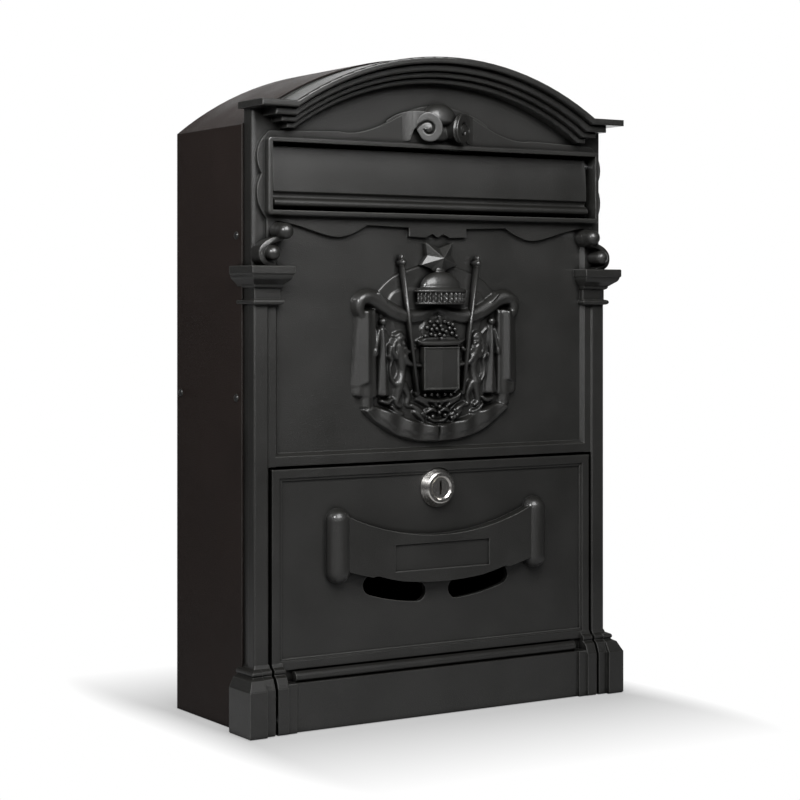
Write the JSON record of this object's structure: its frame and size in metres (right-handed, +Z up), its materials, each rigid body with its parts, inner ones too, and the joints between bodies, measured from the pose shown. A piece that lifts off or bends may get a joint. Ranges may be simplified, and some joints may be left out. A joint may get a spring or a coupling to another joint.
{
  "type": "wall mounted mailbox",
  "caption": "Arched wall mailbox with a cast front: pilasters, heraldic crest, hinged letter flap and a drop-down lockable door on a sheet-steel box.",
  "frame": {"origin": "centre of the four wall holes, on the back face that lies on the wall", "axes": "+Z up, -Y out of the wall through the front, +X to the right as seen from the front"},
  "size_m": [0.273, 0.123, 0.41],
  "materials": {
    "cast_front": "cast, black textured powder coat",
    "sheet_steel": "black textured powder coat",
    "painted_rivet": "semi-gloss black paint, worn on the dome",
    "zinc_steel": "bright zinc plate",
    "lock_chrome": "polished chrome"
  },
  "bodies": {
    "box": {"front_casting": "cast_front", "crest": "cast_front", "keystone_scroll": "cast_front", "console_left": "cast_front", "console_right": "cast_front", "body_shell": "sheet_steel", "back_panel": "sheet_steel", "bottom_panel": "sheet_steel", "side_rivets": "painted_rivet", "back_rivets": "painted_rivet", "flap_rod": "zinc_steel", "rod_clips": "zinc_steel", "clip_screws": "zinc_steel"},
    "flap": {"letter_flap": "cast_front"},
    "door": {"door": "cast_front", "hinge_pin_left": "zinc_steel", "hinge_pin_right": "zinc_steel", "lock_housing": "lock_chrome", "lock_nut": "zinc_steel"},
    "lock_rotor": {"lock_plug": "lock_chrome", "lock_cam": "zinc_steel", "cam_washer": "zinc_steel", "cam_screw": "zinc_steel"}
  },
  "joints": [
    {"name": "door_hinge", "type": "hinge", "parent": "box", "child": "door", "pos_m": [0, -0.1065, -0.193], "axis": [1, 0, 0], "range_deg": [0, 95]},
    {"name": "flap_hinge", "type": "hinge", "parent": "box", "child": "flap", "pos_m": [0, -0.098, 0.1465], "axis": [-1, 0, 0], "range_deg": [0, 75]},
    {"name": "lock_turn", "type": "hinge", "parent": "door", "child": "lock_rotor", "pos_m": [0, -0.103, -0.059], "axis": [0, -1, 0], "range_deg": [0, 90]}
  ]
}
